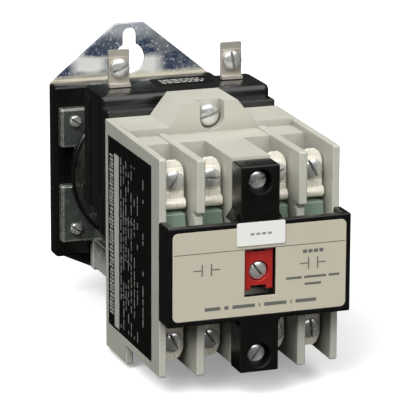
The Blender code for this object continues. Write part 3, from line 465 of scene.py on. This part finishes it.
def wire_coil(name, radius, wire, y0, y1, turns, look, steps=36, sides=10):
    """A round-wire spring about Y with closed ends."""
    bm = bmesh.new()
    rings = []
    count = int(turns * steps)
    for i in range(count + 1):
        part = i / count
        turn = 2.0 * math.pi * turns * part
        ends = 0.5 / turns
        rise = min(1.0, max(0.0, (part - ends) / (1.0 - 2.0 * ends)))
        out = Vector((math.cos(turn), 0.0, math.sin(turn)))
        middle = out * radius + Vector((0.0, y0 + wire + (y1 - y0 - 2.0 * wire) * rise, 0.0))
        around = [2.0 * math.pi * k / sides for k in range(sides)]
        offsets = [out * math.cos(a) * wire + Vector((0.0, math.sin(a) * wire, 0.0)) for a in around]
        rings.append([bm.verts.new(middle + offset) for offset in offsets])
    for first, second in zip(rings, rings[1:]):
        for k in range(sides):
            n = (k + 1) % sides
            bm.faces.new((first[k], first[n], second[n], second[k]))
    bm.faces.new(rings[0])
    bm.faces.new(list(reversed(rings[-1])))
    return new_piece(name, bm, look, 60.0)


def in_mm(node):
    """A CAD node's lowest and highest corners in millimetres."""
    low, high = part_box(node)
    return low / MM, high / MM


# ---------------------------------------------------------------- CAD nodes that stay

def edge_group():
    """Geometry nodes that weld the imported faces and drop their stored normals."""
    group = bpy.data.node_groups.new("weld_and_clear", "GeometryNodeTree")
    group.interface.new_socket("Geometry", in_out="INPUT", socket_type="NodeSocketGeometry")
    group.interface.new_socket("Geometry", in_out="OUTPUT", socket_type="NodeSocketGeometry")
    start, end = group.nodes.new("NodeGroupInput"), group.nodes.new("NodeGroupOutput")
    weld = group.nodes.new("GeometryNodeMergeByDistance")
    weld.inputs["Distance"].default_value = 0.002 * MM
    clear = group.nodes.new("GeometryNodeRemoveAttribute")
    clear.inputs["Name"].default_value = "custom_normal"
    group.links.new(start.outputs[0], weld.inputs["Geometry"])
    group.links.new(weld.outputs["Geometry"], clear.inputs["Geometry"])
    group.links.new(clear.outputs["Geometry"], end.inputs[0])
    return group


def sharp_group():
    """Geometry nodes that shade smooth and keep edges over an angle sharp."""
    group = bpy.data.node_groups.new("smooth_by_angle", "GeometryNodeTree")
    group.interface.new_socket("Geometry", in_out="INPUT", socket_type="NodeSocketGeometry")
    group.interface.new_socket("Geometry", in_out="OUTPUT", socket_type="NodeSocketGeometry")
    start, end = group.nodes.new("NodeGroupInput"), group.nodes.new("NodeGroupOutput")
    faces = group.nodes.new("GeometryNodeSetShadeSmooth")
    edges = group.nodes.new("GeometryNodeSetShadeSmooth")
    edges.domain = "EDGE"
    edges.inputs["Shade Smooth"].default_value = False
    angle = group.nodes.new("GeometryNodeInputMeshEdgeAngle")
    over = group.nodes.new("FunctionNodeCompare")
    over.operation = "GREATER_THAN"
    over.inputs[1].default_value = math.radians(38.0)
    group.links.new(start.outputs[0], faces.inputs["Geometry"])
    group.links.new(faces.outputs[0], edges.inputs["Geometry"])
    group.links.new(angle.outputs["Unsigned Angle"], over.inputs[0])
    group.links.new(over.outputs[0], edges.inputs["Selection"])
    group.links.new(edges.outputs[0], end.inputs[0])
    return group


WELD, SHARP = edge_group(), sharp_group()


def finish_node(node, look, edge_mm=0.25, segments=2):
    """Give a CAD node its finish, and round its edges without touching its mesh."""
    obj = NODES[node]
    obj.data.materials.clear()
    obj.data.materials.append(LOOKS[look])
    obj.modifiers.new("weld", "NODES").node_group = WELD
    if edge_mm > 0.0:
        flat = obj.modifiers.new("flat_faces", "DECIMATE")
        flat.decimate_type = "DISSOLVE"
        flat.angle_limit = math.radians(0.4)
        rim = obj.modifiers.new("rounded_edges", "BEVEL")
        rim.width = edge_mm * MM
        rim.segments = segments
        rim.limit_method = "ANGLE"
        rim.angle_limit = math.radians(32.0)
        rim.miter_outer = "MITER_ARC"
    obj.modifiers.new("smooth", "NODES").node_group = SHARP
    if edge_mm > 0.0:
        even = obj.modifiers.new("even_normals", "WEIGHTED_NORMAL")
        even.keep_sharp = True


def finish_nodes():
    """Every CAD node that shows as it is."""
    finish_node("mounting_plate", "zinc_plate", 0.25)
    finish_node("base_block", "black_moulding", 0.3)
    finish_node("magnet_yoke", "yoke_plate", 0.5)
    finish_node("magnet_core", "soft_iron", 0.2)
    finish_node("front_pole_plate", "soft_iron", 0.3)
    finish_node("coil_housing", "housing_black", 0.35)
    finish_node("contact_block", "grey_moulding", 0.18)
    finish_node("contact_carrier", "black_moulding", 0.2)
    finish_node("plunger", "soft_iron", 0.2)
    finish_node("red_actuator", "red_moulding", 0.2)
    finish_node("front_cover", "black_moulding", 0.35)
    finish_node("nameplate", "cream_panel", 0.08, 1)
    finish_node("sticker", "label_white", 0.0)
    finish_node("side_label", "label_black", 0.0)
    for side in SIDES:
        finish_node("coil_terminal_" + side, "dull_strip", 0.15)
    for n in POLES:
        finish_node(f"contact_cartridge_{n}", "green_moulding", 0.25)
        finish_node(f"moving_contact_{n}", "contact_brass", 0.12)
        for level in LEVELS:
            finish_node(f"{level}_terminal_{n}", "nickel_strip", 0.18)


# ---------------------------------------------------------------- screws

def screw_mesh(name, head_r, head_h, shank_r, shank_len):
    """A slotted pan-head screw in millimetres, seat at y = 0, slot along X, with thread ridges."""
    crown, rim, edge = head_h, head_h * 0.66, 0.25
    profile = [(0.0, -crown)]
    for i in range(1, 9):
        turn = math.radians(90.0 * i / 8.0)
        profile.append((head_r * math.sin(turn), -rim - (crown - rim) * math.cos(turn)))
    profile += [(head_r, -edge), (head_r - edge * 0.5, 0.0), (shank_r, 0.0)]
    pitch, y = 0.8, 1.0
    while y + pitch < shank_len - 0.6:
        profile += [(shank_r, y), (shank_r, y + pitch * 0.25), (shank_r - 0.28, y + pitch * 0.62)]
        y += pitch
    profile += [(shank_r, y), (shank_r, shank_len - 0.5), (shank_r - 0.5, shank_len), (0.0, shank_len)]
    bm = turned(profile, 48)
    solid = new_piece(name, bm, "screw_steel")
    cutter_bm = bmesh.new()
    half = head_r * 0.14
    add_block(cutter_bm, -head_r - 1.0, head_r + 1.0, -head_h - 1.0, -head_h * 0.34, -half, half)
    cutter = new_piece(name + "_slot", cutter_bm, "screw_steel")
    carve = solid.modifiers.new("slot", "BOOLEAN")
    carve.operation = "DIFFERENCE"
    carve.object = cutter
    round_off = solid.modifiers.new("slot_edges", "BEVEL")
    round_off.width = 0.09 * MM
    round_off.segments = 2
    round_off.limit_method = "ANGLE"
    round_off.angle_limit = math.radians(60.0)
    mesh = bpy.data.meshes.new_from_object(solid.evaluated_get(bpy.context.evaluated_depsgraph_get()))
    mesh.shade_smooth()
    mesh.set_sharp_from_angle(angle=math.radians(45.0))
    bpy.data.objects.remove(solid)
    bpy.data.objects.remove(cutter)
    return mesh


def place_screws(stem, turns, body="frame"):
    """One fine screw for each CAD screw node named in turns, its slot turned by so many degrees."""
    mesh = screw_mesh(stem, *SCREW_SIZES[stem])
    head_h = SCREW_SIZES[stem][1]
    for node, turn in turns.items():
        low, high = in_mm(node)
        seat = low.y + head_h
        screw = bpy.data.objects.new(node + "_fine", mesh)
        bpy.context.scene.collection.objects.link(screw)
        spot = Vector(((low.x + high.x) / 2.0, seat, (low.z + high.z) / 2.0)) * MM
        screw.matrix_world = Matrix.Translation(spot) @ Matrix.Rotation(math.radians(turn), 4, "Y")
        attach(screw, body)
        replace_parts(screw, node)


def build_screws():
    """Every screw of the relay. The turns of the visible ones follow the object; the rest are free."""
    upper, lower = (-60.0, 2.0, -20.0, 62.0), (65.0, 55.0, -40.0, 85.0)
    turns = {f"upper_terminal_screw_{n}": upper[n - 1] for n in POLES}
    turns.update({f"lower_terminal_screw_{n}": lower[n - 1] for n in POLES})
    place_screws("terminal_screw", turns)
    turns = {"coil_terminal_screw_left": -20.0, "coil_terminal_screw_right": 80.0}
    place_screws("coil_screw", turns)
    turns = {"block_screw_upper": -15.0, "block_screw_lower": -15.0}
    place_screws("block_screw", turns)
    turns = {"cover_screw_upper": -14.0, "cover_screw_lower": -54.0}
    place_screws("cover_screw", turns)
    turns = {f"yoke_screw_{level}_{side}": 35.0 for level in LEVELS for side in SIDES}
    place_screws("yoke_screw", turns)
    turns = {"housing_screw_upper": 60.0, "housing_screw_lower": 60.0}
    place_screws("housing_screw", turns)
    place_screws("actuator_screw", {"actuator_screw": 52.0}, "moving_core")


# ---------------------------------------------------------------- coil and springs

def build_coil():
    """Finer bobbin and winding in the places of their CAD nodes."""
    low, high = in_mm("coil_bobbin")
    centre, flange_r = (low.z + high.z) / 2.0, (high.z - low.z) / 2.0
    bore, tube, rim, flange = 11.4, 13.0, 0.5, 2.4
    profile = [(bore, low.y), (flange_r - rim, low.y), (flange_r, low.y + rim)]
    profile += [(flange_r, low.y + flange - rim), (flange_r - rim, low.y + flange), (tube, low.y + flange)]
    profile += [(tube, high.y - flange), (flange_r - rim, high.y - flange)]
    profile += [(flange_r, high.y - flange + rim), (flange_r, high.y - rim)]
    profile += [(flange_r - rim, high.y), (bore, high.y), (bore, low.y)]
    bm = turned(profile, 120)
    bmesh.ops.remove_doubles(bm, verts=bm.verts, dist=0.001)
    bobbin = new_piece("coil_bobbin_fine", bm, "housing_black")
    bobbin.location.z = centre * MM
    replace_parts(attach(bobbin, "frame"), "coil_bobbin")

    low, high = in_mm("coil_winding")
    outer = (high.z - low.z) / 2.0
    inner, turns_seen = tube + 0.3, 7
    profile = [(inner, low.y)]
    width = (high.y - low.y) / turns_seen
    for i in range(turns_seen):
        start = low.y + width * i
        profile += [(outer - 0.45, start), (outer - 0.12, start + 0.3), (outer, start + width * 0.4)]
        profile += [(outer - 0.05, start + width - 0.35), (outer - 0.3, start + width - 0.05)]
    profile += [(inner, high.y), (inner, low.y)]
    bm = turned(profile, 120)
    bmesh.ops.remove_doubles(bm, verts=bm.verts, dist=0.001)
    winding = new_piece("coil_winding_fine", bm, "winding_tape", 50.0)
    winding.location.z = centre * MM
    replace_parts(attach(winding, "frame"), "coil_winding")


def build_springs():
    """Finer return spring and contact springs."""
    low, high = in_mm("return_spring")
    radius, wire, turns = 4.6, 0.5, 8.0
    spring = wire_coil("return_spring_fine", radius, wire, low.y, high.y, turns, "spring_steel")
    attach(spring, "frame")
    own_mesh(spring)
    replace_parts(spring, "return_spring")
    radius, wire, turns = 2.0, 0.3, 3.0
    for n in POLES:
        low, high = in_mm(f"contact_spring_{n}")
        name = f"contact_spring_{n}_fine"
        coil = wire_coil(name, radius, wire, low.y, high.y, turns, "spring_steel", steps=28, sides=8)
        coil.location = Vector(((low.x + high.x) / 2.0, 0.0, (low.z + high.z) / 2.0)) * MM
        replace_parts(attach(coil, "moving_core"), f"contact_spring_{n}")


# ---------------------------------------------------------------- printed marks, all generic

def print_nameplate():
    """Rule across the panel, two plain circuit symbols and rows of blank bars where lines of print go."""
    low, high = in_mm("nameplate")
    y0, y1 = low.y - PRINT_UNDER, low.y + PRINT_OVER
    edge = 0.35
    ink = [(low.x + edge, high.x - edge, y0, y1, *RULE_Z)]

    def bars(centre_x, z, widths, tall, gap=1.1):
        x = centre_x - (sum(widths) + gap * (len(widths) - 1)) / 2.0
        for width in widths:
            ink.append((x, x + width, y0, y1, z, z + tall))
            x += width + gap

    def open_contact(x, z):
        """Two upright strokes with a lead on each side: the plain sign for an open contact."""
        inside, outside, tip = 1.5, 2.0, 5.0
        half_stroke, half_lead = 2.2, 0.22
        for sign in (-1.0, 1.0):
            a, b = sorted((x + sign * inside, x + sign * outside))
            ink.append((a, b, y0, y1, z - half_stroke, z + half_stroke))
            a, b = sorted((x + sign * outside, x + sign * tip))
            ink.append((a, b, y0, y1, z - half_lead, z + half_lead))

    open_contact(-20.3, 2.0)
    open_contact(20.3, 1.2)
    bars(20.3, 5.0, (1.6, 1.6, 1.6, 1.6), 1.3, 0.5)
    bars(20.3, -4.4, (6.0, 8.6, 4.2), 0.9, 0.9)
    bars(20.3, -7.0, (6.4,), 0.9)
    bars(0.3, -13.3, (6.0, 1.6, 8.6, 0.5, 8.6, 0.5, 8.0), 1.3, 1.5)
    blocks_piece("nameplate_print", ink, "print_dark")


def print_sticker():
    """Four blank strokes where a shelf number would be."""
    low, high = in_mm("sticker")
    y0, y1 = low.y - 0.015, low.y + PRINT_OVER
    middle, pitch, half_width = (low.x + high.x) / 2.0, 2.2, 0.75
    ink = []
    for i in range(4):
        x = middle + (i - 1.5) * pitch
        ink.append((x - half_width, x + half_width, y0, y1, *STICKER_BAR_Z))
    blocks_piece("sticker_print", ink, "print_dim")


def print_side_label():
    """Pale stripe and columns of unreadable fine strokes on the black side label."""
    low, high = in_mm("side_label")
    x0, x1 = low.x - 0.02, low.x + 0.04
    stripe_from, stripe_to, column_from, column_to = 37.5, 43.0, 43.9, 48.9
    draw = random.Random(7)
    stripe = [(x0, x1, low.y + stripe_from, low.y + stripe_to, low.z + 1.0, high.z - 5.2)]
    blocks_piece("side_label_stripe", stripe, "print_light")

    strokes = []
    z = low.z + 5.0
    while z < high.z - 6.5:
        step = draw.uniform(1.0, 1.9)
        a = low.y + column_from + draw.uniform(0.0, 0.8)
        b = low.y + column_to - draw.uniform(0.0, 1.2)
        cut = draw.uniform(a + 0.8, b - 0.8)
        strokes.append((x0, x1, a, cut - 0.25, z, z + step * 0.6))
        strokes.append((x0, x1, cut + 0.25, b, z, z + step * 0.6))
        z += step
    blocks_piece("side_label_column", strokes, "print_light")

    fine = []
    columns = ((34.6, 1.6, 0.92), (31.6, 1.3, 0.8), (28.8, 1.3, 0.86), (25.9, 1.2, 0.7), (22.6, 1.3, 0.8),
               (19.0, 1.3, 0.62), (15.4, 1.2, 0.5), (9.0, 1.6, 0.3))
    for depth, tall, filled in columns:
        z = low.z + 2.5
        while z < high.z - 5.5:
            length = draw.uniform(1.2, 4.2)
            if draw.random() < filled:
                top = min(z + length, high.z - 5.0)
                fine.append((x0, x1, low.y + depth, low.y + depth + tall * 0.55, z, top))
            z += length + draw.uniform(0.5, 1.1)
    for z, a, b in ((9.5, 20.0, 36.0), (-6.5, 24.0, 36.0), (-21.0, 26.0, 36.0)):
        fine.append((x0, x1, low.y + a, low.y + b, z, z + 0.22))
    blocks_piece("side_label_fine_print", fine, "print_dim")


def build_coil_label():
    """Black label on top of the coil housing, with blank strokes for its print."""
    high = in_mm("coil_housing")[1]
    top = high.z
    x0, x1, y0, y1 = -8.0, 15.0, high.y - 13.0, high.y - 1.2
    bm = bmesh.new()
    add_block(bm, x0, x1, y0, y1, top - 0.05, top + 0.12)
    rims = [e for e in bm.edges if abs(e.verts[0].co.z - e.verts[1].co.z) > 0.01]
    bmesh.ops.bevel(bm, geom=rims, offset=0.8, segments=4, affect="EDGES")
    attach(new_piece("coil_label", bm, "label_black"), "frame")
    draw = random.Random(11)
    ink = []
    for row in range(3):
        y = y0 + 3.0 + row * 2.4
        x = x0 + 3.0
        while x < x1 - 3.5:
            width = draw.uniform(1.0, 2.6)
            ink.append((x, min(x + width, x1 - 2.5), y, y + 1.1, top + 0.1, top + 0.14))
            x += width + 0.6
    blocks_piece("coil_label_print", ink, "print_light")


# ---------------------------------------------------------------- set

def build_floor():
    """Pale floor just under the lowest point."""
    size, gap, thick_mm = 3.0, 0.0004, 20.0
    low = cad_low.z - gap
    bm = bmesh.new()
    add_block(bm, -size / MM, size / MM, -size / MM, size / MM, low / MM - thick_mm, low / MM)
    floor = new_piece("floor", bm, "label_white")
    floor.data.materials.clear()
    floor.data.materials.append(floor_finish())


def build_world():
    """White to the lens; to the object, a pale wall behind and a dim room on every other side."""
    world = bpy.data.worlds.new("studio")
    world.use_nodes = True
    tree = world.node_tree
    back = next(n for n in tree.nodes if n.type == "BACKGROUND")
    coords = tree.nodes.new("ShaderNodeTexCoord")
    split = tree.nodes.new("ShaderNodeSeparateXYZ")
    tree.links.new(coords.outputs["Generated"], split.inputs[0])

    def ramp(axis, low, high, out_low, out_high):
        node = tree.nodes.new("ShaderNodeMapRange")
        node.interpolation_type = "SMOOTHSTEP"
        for key, number in zip(RAMP_SOCKETS, (low, high, out_low, out_high)):
            node.inputs[key].default_value = number
        tree.links.new(split.outputs[axis], node.inputs["Value"])
        return node.outputs[0]

    def join(operation, first, second):
        node = tree.nodes.new("ShaderNodeMath")
        node.operation = operation
        for socket, value in zip(node.inputs, (first, second)):
            if isinstance(value, bpy.types.NodeSocket):
                tree.links.new(value, socket)
            else:
                socket.default_value = value
        return node.outputs[0]

    above = ramp("Z", 0.02, 0.22, 0.0, 1.0)
    behind = ramp("Y", 0.2, 0.9, 0.0, WALL_BRIGHT)
    sky = ramp("Z", 0.2, 0.95, ROOM_DIM, SKY_BRIGHT)
    room = join("ADD", join("MULTIPLY", above, behind), sky)
    path = tree.nodes.new("ShaderNodeLightPath")
    lens = path.outputs["Is Camera Ray"]
    tree.links.new(join("MAXIMUM", room, lens), back.inputs["Strength"])
    bpy.context.scene.world = world


def sun_light(name, azimuth, elevation, strength, spread):
    """A soft distant light from an azimuth (0 in front, positive to the right) and elevation in degrees."""
    light = bpy.data.lights.new(name, "SUN")
    light.energy = strength
    light.angle = math.radians(spread)
    lamp = bpy.data.objects.new(name, light)
    bpy.context.scene.collection.objects.link(lamp)
    a, e = math.radians(azimuth), math.radians(elevation)
    towards = Vector((math.sin(a) * math.cos(e), -math.cos(a) * math.cos(e), math.sin(e)))
    lamp.rotation_mode = "QUATERNION"
    lamp.rotation_quaternion = (-towards).to_track_quat("-Z", "Y")


def build_light():
    """A broad key from above the left, a softer light nearly overhead and a fill from above the front."""
    build_world()
    sun_light("key", azimuth=-50.0, elevation=44.0, strength=3.0, spread=40.0)
    sun_light("overhead", azimuth=120.0, elevation=80.0, strength=1.0, spread=70.0)
    sun_light("front_fill", azimuth=10.0, elevation=34.0, strength=1.5, spread=50.0)


def build_camera():
    """Long lens from the left and a little above, as in the reference view."""
    azimuth, elevation, roll = math.radians(-19.66), math.radians(14.86), math.radians(0.22)
    aim, distance = Vector((0.0038, -0.075, 0.0070)), 1.1046
    back = Vector((math.sin(azimuth) * math.cos(elevation), -math.cos(azimuth) * math.cos(elevation),
                   math.sin(elevation)))
    lens = bpy.data.cameras.new("camera")
    lens.sensor_width, lens.lens = 36.0, 261.0
    lens.clip_start, lens.clip_end = 0.05, 20.0
    cam = bpy.data.objects.new("camera", lens)
    bpy.context.scene.collection.objects.link(cam)
    turn = (-back).to_track_quat("-Z", "Y").to_matrix().to_4x4() @ Matrix.Rotation(roll, 4, "Z")
    cam.matrix_world = Matrix.Translation(aim + back * distance) @ turn
    bpy.context.scene.camera = cam


def set_view():
    """Plain display of the rendered values."""
    settings = bpy.context.scene.view_settings
    settings.view_transform = "Standard"
    settings.exposure = 0.0


finish_nodes()
build_screws()
build_coil()
build_springs()
print_nameplate()
print_sticker()
print_side_label()
build_coil_label()
build_floor()
build_light()
build_camera()
set_view()
